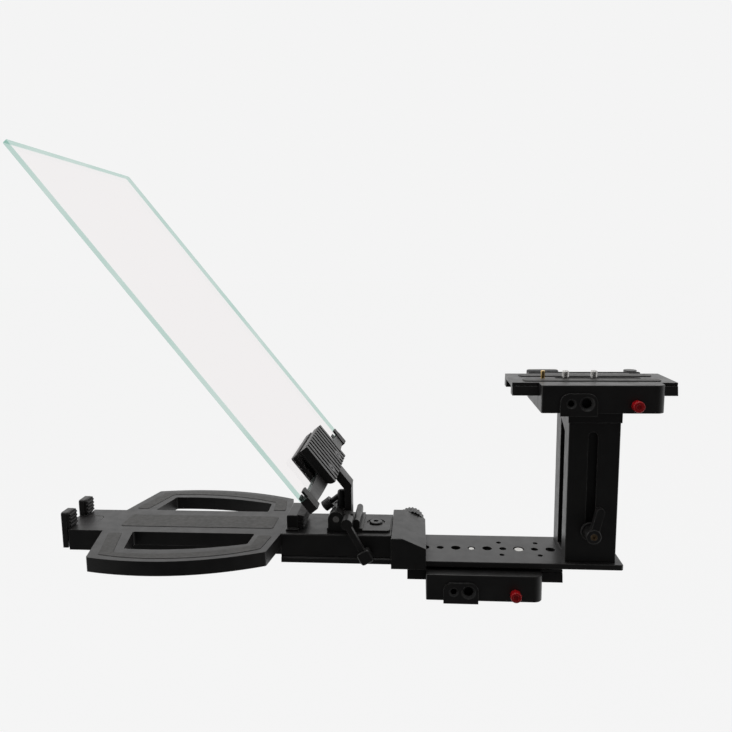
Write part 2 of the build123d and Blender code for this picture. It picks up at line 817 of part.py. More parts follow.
with BuildPart() as rail:
    with BuildSketch(across(rail_left)):
        with Locations((0, (rail_bottom + deck_height) / 2)):
            Rectangle(rail_width, rail_height)
    extrude(amount=rail_right - rail_left)
    chamfer(rail.edges().filter_by(Axis.X), 0.8)
    with BuildSketch(across(rail_right)):
        with Locations((0, (tenon_bottom + tenon_top) / 2)):
            Rectangle(2 * tenon_half, tenon_top - tenon_bottom)
    extrude(amount=tenon_length)
    with BuildSketch(across(rail_left)):
        with Locations((0, (rail_bottom + channel_top) / 2)):
            Rectangle(channel_width, channel_top - rail_bottom)
    extrude(amount=hollow_right - rail_left, mode=Mode.SUBTRACT)
    with BuildSketch(level(channel_top)):
        with Locations(*rail_bar_screws, *jaw_screws):
            Circle(bar_screw_radius + seat_gap)
    extrude(amount=5.0, mode=Mode.SUBTRACT)
    with BuildSketch(level(channel_top)):
        with Locations(*jaw_screws):
            Circle(bar_screw_radius + seat_gap)
    extrude(amount=deck_height - channel_top, mode=Mode.SUBTRACT)
    with BuildSketch(level(rail_bottom)):
        with Locations(*rail_plate_screws):
            Circle(plate_screw_radius + seat_gap)
    extrude(amount=6.5, mode=Mode.SUBTRACT)
    with BuildSketch(level(deck_height)):
        with Locations((carriage_screw_x, 0)):
            Circle(carriage_screw_radius + seat_gap)
    extrude(amount=-12.5, mode=Mode.SUBTRACT)
pieces["rail"] = rail

plate_floor = rail_bottom - bottom_plate_thickness
rail_below = Plane(origin=(0, 0, plate_floor), x_dir=(1, 0, 0), z_dir=(0, 0, -1))
with BuildPart() as rail_bottom_plate:
    with BuildSketch(level(plate_floor)):
        with Locations(((rail_left + rail_right) / 2, 0)):
            Rectangle(rail_right - rail_left, rail_width + 2.0)
    extrude(amount=bottom_plate_thickness)
    chamfer(rail_bottom_plate.faces().sort_by(Axis.Z)[-1].edges().filter_by(Axis.X), 1.4)
    with BuildSketch(level(plate_floor)):
        with Locations(*rail_plate_screws):
            Circle(plate_screw_radius + seat_gap)
    extrude(amount=bottom_plate_thickness, mode=Mode.SUBTRACT)
    with BuildSketch(level(plate_floor)):
        with Locations(*rail_plate_screws):
            Circle(2 * plate_screw_radius + seat_gap)
    extrude(amount=plate_screw_radius, taper=45, mode=Mode.SUBTRACT)
pieces["rail_bottom_plate"] = rail_bottom_plate
pieces["rail_plate_screws"] = countersunk_screws(
    [(x, -y) for x, y in rail_plate_screws],
    rail_below,
    plate_screw_radius,
    bottom_plate_thickness + 6.0,
    2 * plate_screw_radius,
)

# Bar that joins the tray to the rail, and its screws
with BuildPart() as joint_bar:
    with BuildSketch(level(bar_bottom)):
        with Locations(((bar_left + bar_right) / 2, 0)):
            Rectangle(bar_right - bar_left, channel_width - 2 * slide_gap)
    extrude(amount=channel_top - bar_bottom)
    with BuildSketch(level(bar_bottom)):
        with Locations(*tray_bar_screws, *rail_bar_screws, *jaw_screws):
            Circle(bar_screw_radius + seat_gap)
    extrude(amount=channel_top - bar_bottom, mode=Mode.SUBTRACT)
    with BuildSketch(level(bar_bottom)):
        with Locations(*tray_bar_screws, *rail_bar_screws, *jaw_screws):
            Circle(bar_screw_head + 0.3)
    extrude(amount=3.0, mode=Mode.SUBTRACT)
pieces["joint_bar"] = joint_bar

with BuildPart() as joint_bar_screws:
    for points, top in (
        (tray_bar_screws + rail_bar_screws, channel_top + 4.5),
        (jaw_screws, deck_height + 6.0),
    ):
        with BuildSketch(level(bar_bottom + 0.4)):
            with Locations(*points):
                Circle(bar_screw_head)
                RegularPolygon(1.6, 6, mode=Mode.SUBTRACT)
        extrude(amount=1.8)
        with BuildSketch(level(bar_bottom + 2.2)):
            with Locations(*points):
                Circle(bar_screw_head)
        extrude(amount=0.8)
        with BuildSketch(level(bar_bottom + 3.0)):
            with Locations(*points):
                Circle(bar_screw_radius)
        extrude(amount=top - bar_bottom - 3.0)
pieces["joint_bar_screws"] = joint_bar_screws


# ---------------------------------------------------------------- tray
bar_base = deck_height - bar_height
cover_half = 24.0
cover_thickness = 2.3
cover_screw_y = 21.5
cover_screws = [(x, y) for x in (-380.0, -285.0, -192.0) for y in (-cover_screw_y, cover_screw_y)]
cover_screw_radius = 1.2
recess_left_depth = 19.3
recess_half = 10.2
pad_thickness = 0.9
window_corner = 2.0
pad_seat = 0.6
centre_pad_x = (-343.2, -195.2)
centre_pad_half = 15.0


def wing_outline(turn):
    with BuildLine() as outline_lines:
        edge = Spline(
            (-342.2, turn * 86.0),
            (-289.2, turn * 92.0),
            (-259.2, turn * 89.8),
            (-221.2, turn * 80.5),
            (-190.2, turn * 67.3),
        )
        Polyline(edge @ 1, (rail_left, turn * 27.0), (rail_left, turn * 20.0))
        Polyline((rail_left, turn * 20.0), (-355.2, turn * 20.0), (-355.2, turn * 27.0), edge @ 0)
    make_face(outline_lines.edges())


def window_outline(turn):
    with BuildLine() as outline_lines:
        edge = ThreePointArc((-317.2, turn * 67.0), (-268.2, turn * 66.0), (-210.2, turn * 51.5))
        Polyline(edge @ 1, (-209.2, turn * 28.4), (-325.2, turn * 28.4), edge @ 0)
    make_face(outline_lines.edges())


def wing_pad_outline(turn):
    with BuildLine() as outline_lines:
        outer = Spline(
            (-334.2, turn * 80.0),
            (-289.2, turn * 86.0),
            (-259.2, turn * 83.8),
            (-221.2, turn * 74.0),
            (-196.2, turn * 61.5),
        )
        inner = ThreePointArc((-323.2, turn * 75.0), (-268.2, turn * 74.5), (-206.6, turn * 55.5))
        Polyline(outer @ 1, (-192.2, turn * 32.3), (-204.6, turn * 32.3), inner @ 1)
        Polyline(inner @ 0, (-334.2, turn * 32.3), (-346.9, turn * 32.3), outer @ 0)
    make_face(outline_lines.edges())


with BuildPart() as tray:
    for turn in (1, -1):
        with BuildSketch(level(deck_height)) as wing:
            wing_outline(turn)
            corners = wing.vertices().filter_by(lambda v: abs(v.Y) > 60)
            fillet(corners, wing_corner)
        extrude(amount=-wing_thickness)
    with BuildSketch(level(bar_base)):
        with Locations(((tray_left + rail_left) / 2, 0)):
            Rectangle(rail_left - tray_left, rail_width)
    extrude(amount=bar_height)
    for turn in (1, -1):
        with BuildSketch(level(deck_height)) as window:
            window_outline(turn)
            fillet(window.vertices(), window_corner)
        extrude(amount=-bar_height, mode=Mode.SUBTRACT)
        with BuildSketch(level(deck_height)) as seat:
            wing_pad_outline(turn)
            fillet(seat.vertices(), 2.0)
        extrude(amount=-pad_seat, mode=Mode.SUBTRACT)
    with BuildSketch(level(deck_height)):
        with Locations((sum(centre_pad_x) / 2, 0)):
            RectangleRounded(centre_pad_x[1] - centre_pad_x[0], 2 * centre_pad_half, 3.0)
    extrude(amount=-pad_seat, mode=Mode.SUBTRACT)
    # Channel for the joint bar and the slider's tongue, and the recess of its cover
    with BuildSketch(across(tray_left)):
        with Locations((0, (bar_base + channel_top) / 2)):
            Rectangle(channel_width, channel_top - bar_base)
        with Locations((0, bar_base + cover_thickness / 2)):
            Rectangle(2 * cover_half, cover_thickness)
    extrude(amount=rail_left - tray_left, mode=Mode.SUBTRACT)
    with BuildSketch(level(bar_base + cover_thickness)):
        with Locations(*cover_screws):
            Circle(cover_screw_radius + seat_gap)
    extrude(amount=6.2, mode=Mode.SUBTRACT)
    with BuildSketch(level(channel_top)):
        with Locations(*tray_bar_screws):
            Circle(bar_screw_radius + seat_gap)
    extrude(amount=5.0, mode=Mode.SUBTRACT)
    # Open recess in the front end for the slider's upper tongue
    with BuildSketch(level(deck_height)) as recess:
        with Locations((tray_left + recess_left_depth / 2 - 5.0, 0)):
            Rectangle(recess_left_depth + 10.0, 2 * recess_half)
        fillet(recess.vertices().group_by(Axis.X)[-1], 5.0)
    extrude(amount=-(deck_height - channel_top), mode=Mode.SUBTRACT)
pieces["tray"] = tray

tray_below = Plane(origin=(0, 0, bar_base), x_dir=(1, 0, 0), z_dir=(0, 0, -1))
with BuildPart() as tray_channel_cover:
    with BuildSketch(level(bar_base)):
        with Locations(((tray_left + rail_left) / 2 + 1.0, 0)):
            Rectangle(rail_left - tray_left - 2.0, 2 * cover_half - 0.2)
    extrude(amount=cover_thickness)
    with BuildSketch(level(bar_base)):
        with Locations(*cover_screws):
            Circle(cover_screw_radius + seat_gap)
    extrude(amount=cover_thickness, mode=Mode.SUBTRACT)
    with BuildSketch(level(bar_base)):
        with Locations(*cover_screws):
            Circle(2 * cover_screw_radius + seat_gap)
    extrude(amount=cover_screw_radius, taper=45, mode=Mode.SUBTRACT)
pieces["tray_channel_cover"] = tray_channel_cover
pieces["tray_cover_screws"] = countersunk_screws(
    [(x, -y) for x, y in cover_screws],
    tray_below,
    cover_screw_radius,
    cover_thickness + 6.0,
    2 * cover_screw_radius,
)

with BuildPart() as tray_centre_pad:
    with BuildSketch(level(deck_height - pad_seat)):
        with Locations((sum(centre_pad_x) / 2, 0)):
            RectangleRounded(centre_pad_x[1] - centre_pad_x[0], 2 * centre_pad_half, 3.0)
    extrude(amount=pad_thickness)
pieces["tray_centre_pad"] = tray_centre_pad

with BuildPart() as tray_wing_pads:
    for turn in (1, -1):
        with BuildSketch(level(deck_height - pad_seat)) as outline:
            wing_pad_outline(turn)
            fillet(outline.vertices(), 2.0)
        extrude(amount=pad_thickness)
pieces["tray_wing_pads"] = tray_wing_pads


# ---------------------------------------------------------------- front slider and rear jaw
plate_right = tray_left - 2.4
plate_depth = 5.0
finger_inner = 9.6
finger_outer = 24.8
finger_top = 69.6
finger_pad_depth = 3.8
finger_pad_base = 2.5
finger_ridges = (56.4, 59.8, 63.2, 66.6)
finger_pad_bottom = deck_height + 0.3
tongue_right = -370.0
tongue_half = 10.0
guide_right = -290.0
guide_half = 12.0
guide_bottom = bar_base + cover_thickness + 0.3
guide_top = channel_top - 0.3

with BuildPart() as front_slider:
    with BuildSketch(across(plate_right - plate_depth)):
        with Locations((0, (35.0 + deck_height) / 2)):
            Rectangle(2 * finger_outer, deck_height - 35.0)
        for turn in (1, -1):
            with Locations((turn * (finger_inner + finger_outer) / 2, (45.0 + finger_top) / 2)):
                Rectangle(finger_outer - finger_inner, finger_top - 45.0)
    extrude(amount=plate_depth)
    fillet(front_slider.edges().filter_by(Axis.X).group_by(Axis.Z)[-1], 2.0)
    with BuildSketch(across(plate_right)):
        with Locations((0, (channel_top + 0.3 + deck_height - 0.1) / 2)):
            Rectangle(2 * tongue_half, deck_height - 0.1 - channel_top - 0.3)
    extrude(amount=tongue_right - plate_right)
    fillet(front_slider.edges().filter_by(Axis.Z).group_by(Axis.X)[-1], 4.8)
    with BuildSketch(across(plate_right)):
        with Locations((0, (guide_bottom + guide_top) / 2)):
            Rectangle(2 * guide_half, guide_top - guide_bottom)
    extrude(amount=guide_right - plate_right)
pieces["front_slider"] = front_slider

with BuildPart() as finger_pads:
    pad_across = finger_outer - finger_inner - 0.6
    for turn in (1, -1):
        middle = turn * (finger_inner + finger_outer) / 2
        with BuildSketch(across(plate_right)):
            with Locations((middle, (finger_pad_bottom + finger_top) / 2)):
                pad = Rectangle(pad_across, finger_top - finger_pad_bottom)
            fillet(pad.vertices().group_by(Axis.Z)[-1], 2.4)
        extrude(amount=finger_pad_base)
        with BuildSketch(side(middle + (pad_across - 2.0) / 2)):
            for z in finger_ridges:
                with Locations((plate_right + finger_pad_depth / 2, z)):
                    ridge = Rectangle(finger_pad_depth, 1.9)
                fillet(ridge.vertices().group_by(Axis.X)[-1], 0.8)
        extrude(amount=pad_across - 2.0)
pieces["finger_pads"] = finger_pads

jaw_left = -181.0
jaw_right = -171.0
jaw_half = 17.5
jaw_top = 68.1
with BuildPart() as rear_jaw:
    with BuildSketch(level(deck_height)):
        with Locations(((jaw_left + jaw_right) / 2, 0)):
            RectangleRounded(jaw_right - jaw_left + 2.0, 42.0, 1.5)
    extrude(amount=2.0)
    with BuildSketch(level(deck_height)):
        with Locations(((jaw_left + jaw_right) / 2, 0)):
            Rectangle(jaw_right - jaw_left, 2 * jaw_half)
    extrude(amount=jaw_top - deck_height)
    fillet(rear_jaw.faces().sort_by(Axis.Z)[-1].edges(), 1.0)
    with BuildSketch(level(deck_height)):
        with Locations(*jaw_screws):
            Circle(bar_screw_radius + seat_gap)
    extrude(amount=6.5, mode=Mode.SUBTRACT)
pieces["rear_jaw"] = rear_jaw

with BuildPart() as rear_jaw_rubber:
    with BuildSketch(side(-jaw_half)):
        for index in range(4):
            z = deck_height + 3.5 + index * 3.3
            Polygon(
                (jaw_right, z - 1.3),
                (jaw_right + 1.2, z - 1.3),
                (jaw_right + 4.8, z - 0.6),
                (jaw_right + 6.6, z),
                (jaw_right + 4.8, z + 0.6),
                (jaw_right + 1.2, z + 1.3),
                (jaw_right, z + 1.3),
                align=None,
            )
        with Locations((jaw_right + 0.6, deck_height + 8.3)):
            Rectangle(1.2, 12.0)
    extrude(amount=-2 * jaw_half)
pieces["rear_jaw_rubber"] = rear_jaw_rubber


# ---------------------------------------------------------------- tilt hinge
carriage_left = -143.0
carriage_right = -84.6
carriage_half = 20.5
carriage_thickness = 2.2
flange_top = 58.0
knuckle_inner = 9.0
pin_half = 20.6
tilt_pin_radius = 3.0
pin_head_radius = 7.0
pin_head_length = 14.0
stop_left = -118.5
stop_right = -112.5
stop_top = 66.5
lug_top = 72.0
lug_left = -127.2
lug_right = -118.8
lug_inner = 13.0
tilt_lock_x = -123.0
tilt_lock_z = 67.0
tilt_lock_radius = 2.5
screw_seat_radius = 8.75
screw_seat_depth = 1.0

with BuildPart() as tilt_bracket:
    with BuildSketch(level(deck_height)):
        with Locations(((carriage_left + carriage_right) / 2, 0)):
            RectangleRounded(carriage_right - carriage_left, 2 * carriage_half, 4.0)
    extrude(amount=carriage_thickness)
    with BuildSketch(level(deck_height)):
        with Locations(((carriage_left - 110.0) / 2, 0)):
            Rectangle(-110.0 - carriage_left, 2 * hinge_half_width)
    extrude(amount=flange_top - deck_height)
    for start in (-hinge_half_width, knuckle_inner):
        with BuildSketch(side(start)):
            with Locations((hinge_x, hinge_z)):
                Circle(barrel_radius)
            with Locations((hinge_x, (flange_top - 1 + hinge_z) / 2)):
                Rectangle(2 * barrel_radius, hinge_z - flange_top + 1)
        extrude(amount=-(hinge_half_width - knuckle_inner))
    with BuildSketch(side(-hinge_half_width)):
        with Locations(((stop_left + stop_right) / 2, (flange_top - 1 + stop_top) / 2)):
            rib = Rectangle(stop_right - stop_left, stop_top - flange_top + 1)
        fillet(rib.vertices().group_by(Axis.Z)[-1], 3.0)
    extrude(amount=-2 * hinge_half_width)
    with BuildSketch(side(-hinge_half_width)):
        with Locations(((lug_left + lug_right) / 2, (flange_top - 1 + lug_top) / 2)):
            Rectangle(lug_right - lug_left, lug_top - flange_top + 1)
    extrude(amount=-(hinge_half_width - lug_inner))
    with BuildSketch(side(-hinge_half_width)):
        with Locations((tilt_lock_x, tilt_lock_z)):
            Circle(tilt_lock_radius + shaft_gap)
    extrude(amount=-(hinge_half_width - lug_inner), mode=Mode.SUBTRACT)
    with BuildSketch(side(-hinge_half_width)):
        with Locations((hinge_x, hinge_z)):
            Circle(tilt_pin_radius + seat_gap)
    extrude(amount=-2 * hinge_half_width, mode=Mode.SUBTRACT)
    with BuildSketch(level(deck_height)):
        with Locations((carriage_screw_x, 0)):
            Circle(carriage_screw_radius + seat_gap)
    extrude(amount=carriage_thickness, mode=Mode.SUBTRACT)
    with BuildSketch(level(deck_height + carriage_thickness)):
        with Locations((carriage_screw_x, 0)):
            Circle(screw_seat_radius)
    extrude(amount=-screw_seat_depth, mode=Mode.SUBTRACT)
pieces["tilt_bracket"] = tilt_bracket

seat_z = deck_height + carriage_thickness - screw_seat_depth
with BuildPart() as carriage_screw:
    with BuildSketch(level(seat_z)):
        with Locations((carriage_screw_x, 0)):
            Circle(6.2)
    extrude(amount=2.4)
    fillet(carriage_screw.faces().sort_by(Axis.Z)[-1].edges(), 1.2)
    with BuildSketch(level(seat_z + 2.4)):
        with Locations((carriage_screw_x, 0)):
            RegularPolygon(2.6, 6)
    extrude(amount=-1.6, mode=Mode.SUBTRACT)
    with BuildSketch(level(seat_z)):
        with Locations((carriage_screw_x, 0)):
            Circle(carriage_screw_radius)
    extrude(amount=-13.0)
pieces["carriage_screw"] = carriage_screw

with BuildPart() as tilt_pin:
    with BuildSketch(side(-pin_half)):
        with Locations((hinge_x, hinge_z)):
            Circle(tilt_pin_radius)
    extrude(amount=-2 * pin_half)
pieces["tilt_pin"] = tilt_pin

with BuildPart() as tilt_pin_cap:
    with BuildSketch(side(hinge_half_width)):
        with Locations((hinge_x, hinge_z)):
            Circle(pin_head_radius)
    extrude(amount=-pin_head_length)
    fillet(tilt_pin_cap.faces().sort_by(Axis.Y)[-1].edges(), 1.5)
pieces["tilt_pin_cap"] = tilt_pin_cap

slope = math.radians(glass_angle)
run = (-math.cos(slope), math.sin(slope))
out = (math.sin(slope), math.cos(slope))


def on_glass(s, off):
    """X and Z of a point s up the slope from the glass's lower edge, off towards the lens."""
    return (
        glass_foot[0] + s * run[0] + off * out[0],
        glass_foot[1] + s * run[1] + off * out[1],
    )


glass_plane = Plane(
    origin=(glass_foot[0], 0, glass_foot[1]), x_dir=(run[0], 0, run[1]), z_dir=(out[0], 0, out[1])
)
clamp_low = -15.0
clamp_high = 25.0
clamp_half = 42.0
liner = 1.0
half_glass = glass_thickness / 2
rear_plate_thickness = 7.3
front_plate_thickness = 5.0
clamp_face = half_glass + liner
arm_wall_right = -121.0
arm_wall_left = -127.4
thumb_s = -35.0
thumb_radius = 2.5
thumb_head_radius = 5.3
thumb_head = (-26.0, -17.2)
barrel_middle_radius = 6.4
post_x = -131.2  # round post that stands on the middle barrel
post_radius = 4.7
post_top = 88.0

with BuildPart() as tilt_arm:
    with BuildSketch(side(-arm_half_width + 0.5)):
        bend = on_glass(-33.0, clamp_face + rear_plate_thickness - 0.3)
        Polygon(
            on_glass(clamp_low, 2.0),
            on_glass(clamp_low, clamp_face + rear_plate_thickness - 0.3),
            bend,
            (arm_wall_right, bend[1] - 2.5),
            (arm_wall_right, hinge_z - barrel_middle_radius),
            (hinge_x, hinge_z - barrel_middle_radius),
            (hinge_x, hinge_z + 2.0),
            (arm_wall_left, hinge_z + 6.0),
            (arm_wall_left, on_glass(-32.0, 2.0)[1]),
            on_glass(-30.0, 2.0),
            align=None,
        )
    extrude(amount=-2 * (arm_half_width - 0.5))
    with BuildSketch(side(-arm_half_width)):
        with Locations((hinge_x, hinge_z)):
            Circle(barrel_middle_radius)
    extrude(amount=-2 * arm_half_width)
    with BuildSketch(level(hinge_z)):
        with Locations((post_x, 0)):
            Circle(post_radius)
    extrude(amount=post_top - hinge_z, taper=2.5)
    crown = tilt_arm.faces().sort_by_distance((post_x, 0, post_top))[0]
    fillet(crown.edges(), 2.4)
    with BuildSketch(side(-arm_half_width)):
        with Locations((hinge_x, hinge_z)):
            Circle(tilt_pin_radius + shaft_gap)
    extrude(amount=-2 * arm_half_width, mode=Mode.SUBTRACT)
    with BuildSketch(glass_plane.offset(-16.0)):
        with Locations((thumb_s, 0)):
            Circle(thumb_radius + shaft_gap)
    extrude(amount=22.0, mode=Mode.SUBTRACT)
pieces["tilt_arm"] = tilt_arm

with BuildPart() as thumb_screw:
    with BuildSketch(glass_plane.offset(thumb_head[0])):
        with Locations((thumb_s, 0)):
            Circle(thumb_head_radius)
            with PolarLocations(thumb_head_radius + 0.3, 24):
                Circle(0.5, mode=Mode.SUBTRACT)
    extrude(amount=thumb_head[1] - thumb_head[0])
    with BuildSketch(glass_plane.offset(thumb_head[0] + 1.0)):
        with Locations((thumb_s, 0)):
            Circle(thumb_radius)
    extrude(amount=5.5 - thumb_head[0] - 1.0)
pieces["thumb_screw"] = thumb_screw

lock_head_back = -hinge_half_width - 0.5
lever_arm_front = -36.0
lever_block_front = -38.0
grip_x = -106.5
grip_z = 36.5
grip_size = 12.0
arm_span = math.hypot(grip_x - tilt_lock_x, grip_z - tilt_lock_z)
arm_turn = math.degrees(math.atan2(grip_z - tilt_lock_z, grip_x - tilt_lock_x))
with BuildPart() as tilt_lock_lever:
    with BuildSketch(side(lock_head_back)):
        with Locations((tilt_lock_x, tilt_lock_z)):
            Circle(5.0)
    extrude(amount=lock_head_back - lever_arm_front)
    with BuildSketch(side(lever_arm_front + 5.0)):
        with Locations(((tilt_lock_x + grip_x) / 2, (tilt_lock_z + grip_z) / 2)):
            SlotCenterToCenter(arm_span, 5.2, rotation=arm_turn)
    extrude(amount=5.0)
    with BuildSketch(side(lever_block_front + 8.0)):
        with Locations((grip_x, grip_z)):
            RectangleRounded(grip_size, grip_size, 2.5, rotation=arm_turn)
    extrude(amount=8.0)
    fillet(tilt_lock_lever.faces().sort_by(Axis.Y)[0].edges(), 1.2)
    with BuildSketch(side(-lug_inner + 3.0)):
        with Locations((tilt_lock_x, tilt_lock_z)):
            Circle(tilt_lock_radius)
    extrude(amount=-lug_inner + 3.0 - lock_head_back + 1.0)
pieces["tilt_lock_lever"] = tilt_lock_lever


# ---------------------------------------------------------------- glass and its clamp
rib_pitch = 8.8
rib_groove = 4.0
rib_depth = 3.2
rib_nose = 6.2  # rounding of the ribs' upper ends
clamp_screw_s = -6.5
clamp_screw_y = 22.0
clamp_screw_radius = 2.0
clamp_screws = ((clamp_screw_s, clamp_screw_y), (clamp_screw_s, -clamp_screw_y))
bar_half = 93.0
bar_end_low = -10.0
bar_low = -13.5
hook_width = 13.0
hook_front = -3.2
hook_rear = 4.0
hook_low = -12.5
rear_face = clamp_face + rear_plate_thickness

with BuildPart() as glass_panel:
    with BuildSketch(glass_plane.offset(-half_glass)):
        with Locations((glass_length / 2, 0)):
            RectangleRounded(glass_length, glass_width, 2.0)
    extrude(amount=glass_thickness)
    chamfer(glass_panel.faces().sort_by(Axis.X)[-1].edges(), 0.3)
pieces["glass_panel"] = glass_panel

with BuildPart() as clamp_rear_plate:
    with BuildSketch(side(-clamp_half)) as profile:
        upper_corner = on_glass(clamp_high, rear_face)
        lower_corner = on_glass(clamp_low, rear_face)
        Polygon(
            on_glass(clamp_low, clamp_face),
            on_glass(clamp_high, clamp_face),
            upper_corner,
            lower_corner,
            align=None,
        )
        for corner, radius in ((upper_corner, rib_nose), (lower_corner, 1.5)):
            fillet(profile.vertices().sort_by_distance((corner[0], -clamp_half, corner[1]))[0], radius)
    extrude(amount=-2 * clamp_half)
    with BuildSketch(glass_plane.offset(rear_face)):
        with GridLocations(0, rib_pitch, 1, 9):
            with Locations(((clamp_low + clamp_high) / 2, 0)):
                Rectangle(clamp_high - clamp_low + 2, rib_groove)
    extrude(amount=-rib_depth, mode=Mode.SUBTRACT)
    with BuildSketch(glass_plane.offset(clamp_face)):
        with Locations(*clamp_screws):
            Circle(5.2)
    extrude(amount=rear_plate_thickness)
    with BuildSketch(glass_plane.offset(clamp_face)):
        with Locations(*clamp_screws):
            Circle(clamp_screw_radius + seat_gap)
    extrude(amount=rear_plate_thickness, mode=Mode.SUBTRACT)
    with BuildSketch(glass_plane.offset(rear_face)):
        with Locations(*clamp_screws):
            Circle(2 * clamp_screw_radius + seat_gap)
    extrude(amount=-clamp_screw_radius, taper=45, mode=Mode.SUBTRACT)
pieces["clamp_rear_plate"] = clamp_rear_plate

with BuildPart() as clamp_front_plate:
    with BuildSketch(glass_plane.offset(-clamp_face)):
        with Locations(((clamp_low + clamp_high) / 2, 0)):
            RectangleRounded(clamp_high - clamp_low, 2 * clamp_half, 2.0)
        with Locations(*clamp_screws):
            Circle(clamp_screw_radius + seat_gap, mode=Mode.SUBTRACT)
    extrude(amount=-front_plate_thickness)
pieces["clamp_front_plate"] = clamp_front_plate

with BuildPart() as clamp_liners:
    for start in (half_glass, -clamp_face):
        with BuildSketch(glass_plane.offset(start)):
            with Locations(((clamp_high + 0.5) / 2, 0)):
                Rectangle(clamp_high - 0.5, 2 * clamp_half)
        extrude(amount=liner)
pieces["clamp_liners"] = clamp_liners

with BuildPart() as glass_support_bar:
    with BuildSketch(glass_plane.offset(-clamp_face)):
        with BuildLine():
            under = ThreePointArc((bar_end_low, -bar_half), (bar_low, 0), (bar_end_low, bar_half))
            Polyline(under @ 1, (0, bar_half), (0, -bar_half), under @ 0)
        make_face()
        with Locations(*clamp_screws):
            Circle(clamp_screw_radius + seat_gap, mode=Mode.SUBTRACT)
    extrude(amount=2 * clamp_face)
pieces["glass_support_bar"] = glass_support_bar

pieces["clamp_screws"] = countersunk_screws(
    list(clamp_screws),
    glass_plane.offset(rear_face),
    clamp_screw_radius,
    rear_plate_thickness + 2 * clamp_face + front_plate_thickness - 0.3,
    2 * clamp_screw_radius,
)

for name, turn in (("glass_hook_near", 1), ("glass_hook_far", -1)):
    with BuildPart() as glass_hook:
        middle = turn * (bar_half + hook_width / 2)
        with BuildSketch(glass_plane.offset(hook_front)):
            with Locations((hook_low / 2, middle)):
                RectangleRounded(-hook_low, hook_width, 1.0)
        extrude(amount=hook_rear - hook_front)
        with BuildSketch(glass_plane.offset(half_glass)):
            with Locations((2.5, middle)):
                RectangleRounded(7.0, hook_width - 3.0, 1.0)
        extrude(amount=hook_rear - half_glass)
        with BuildSketch(glass_plane.offset(hook_front)):
            with Locations((1.0, middle)):
                RectangleRounded(4.0, hook_width - 3.0, 1.0)
        extrude(amount=-hook_front - half_glass)
    pieces[name] = glass_hook


# ---------------------------------------------------------------- export
for name, piece in pieces.items():
    piece.part.label = name
    export_step(piece.part, f"parts/{name}.step")
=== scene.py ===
"""Teleprompter on a slotted base plate: materials, fine detail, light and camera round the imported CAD."""
import json
import math

import bmesh
import bpy
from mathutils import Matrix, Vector


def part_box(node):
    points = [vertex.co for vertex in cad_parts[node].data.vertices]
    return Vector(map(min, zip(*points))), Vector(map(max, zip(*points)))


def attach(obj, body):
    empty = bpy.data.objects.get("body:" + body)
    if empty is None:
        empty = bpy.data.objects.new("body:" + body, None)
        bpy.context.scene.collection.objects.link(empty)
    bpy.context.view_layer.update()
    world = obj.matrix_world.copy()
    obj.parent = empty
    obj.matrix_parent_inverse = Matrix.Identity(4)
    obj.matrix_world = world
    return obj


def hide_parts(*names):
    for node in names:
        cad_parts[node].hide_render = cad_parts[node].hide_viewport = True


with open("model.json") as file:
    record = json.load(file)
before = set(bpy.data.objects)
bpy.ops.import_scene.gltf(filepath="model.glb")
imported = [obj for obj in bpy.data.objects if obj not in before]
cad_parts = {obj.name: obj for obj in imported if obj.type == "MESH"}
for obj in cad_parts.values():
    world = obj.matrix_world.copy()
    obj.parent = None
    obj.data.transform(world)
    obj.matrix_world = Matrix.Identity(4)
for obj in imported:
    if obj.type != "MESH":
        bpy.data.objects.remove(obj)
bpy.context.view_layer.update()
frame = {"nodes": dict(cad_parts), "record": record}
nodes = frame["nodes"]

# Materials: lengths in metres, noise scales per metre
blast_grain = 1700.0
blast_depth = 0.000012
plate_edge_radius = 0.00055
glass_slope = 51.8  # degrees from the horizontal, at rest
glass_mirror_share = 0.035
glass_edge_solid_share = 0.12

# Machine screws
quarter_radius, quarter_pitch = 0.0031, 0.00127
three_eighths_radius, three_eighths_pitch = 0.0047, 0.00159
screw_head_radius, screw_head_height = 0.006, 0.0032
thread_above_plate = 0.0004  # where the camera screws' threads start
thread_below_plate = 0.0048  # where the base screws' threads start
head_round = 0.0004

# Studio
backdrop = 0.905
floor_z = -0.35
floor_radius = 30.0
floor_glow = 0.885


# ---------------------------------------------------------------- materials
def shader(name):
    """A new material with a Principled shader. Returns (material, node tree, shader)."""
    mat = bpy.data.materials.new(name)
    mat.use_nodes = True
    tree = mat.node_tree
    tree.nodes.clear()
    out = tree.nodes.new("ShaderNodeOutputMaterial")
    bsdf = tree.nodes.new("ShaderNodeBsdfPrincipled")
    tree.links.new(bsdf.outputs[0], out.inputs[0])
    return mat, tree, bsdf


def noise(tree, scale, detail=3.0, rough=0.55, stretch=None):
    coords = tree.nodes.new("ShaderNodeTexCoord")
    tex = tree.nodes.new("ShaderNodeTexNoise")
    tex.inputs["Scale"].default_value = scale
    tex.inputs["Detail"].default_value = detail
    tex.inputs["Roughness"].default_value = rough
    if stretch:
        mapping = tree.nodes.new("ShaderNodeMapping")
        mapping.inputs["Scale"].default_value = stretch
        tree.links.new(coords.outputs["Object"], mapping.inputs["Vector"])
        tree.links.new(mapping.outputs["Vector"], tex.inputs["Vector"])
    else:
        tree.links.new(coords.outputs["Object"], tex.inputs["Vector"])
    return tex.outputs["Fac"]


def ramp(tree, value, low, high, colour_low, colour_high):
    node = tree.nodes.new("ShaderNodeValToRGB")
    node.color_ramp.elements[0].position = low
    node.color_ramp.elements[1].position = high
    node.color_ramp.elements[0].color = (*colour_low, 1)
    node.color_ramp.elements[1].color = (*colour_high, 1)
    tree.links.new(value, node.inputs["Fac"])
    return node.outputs["Color"]


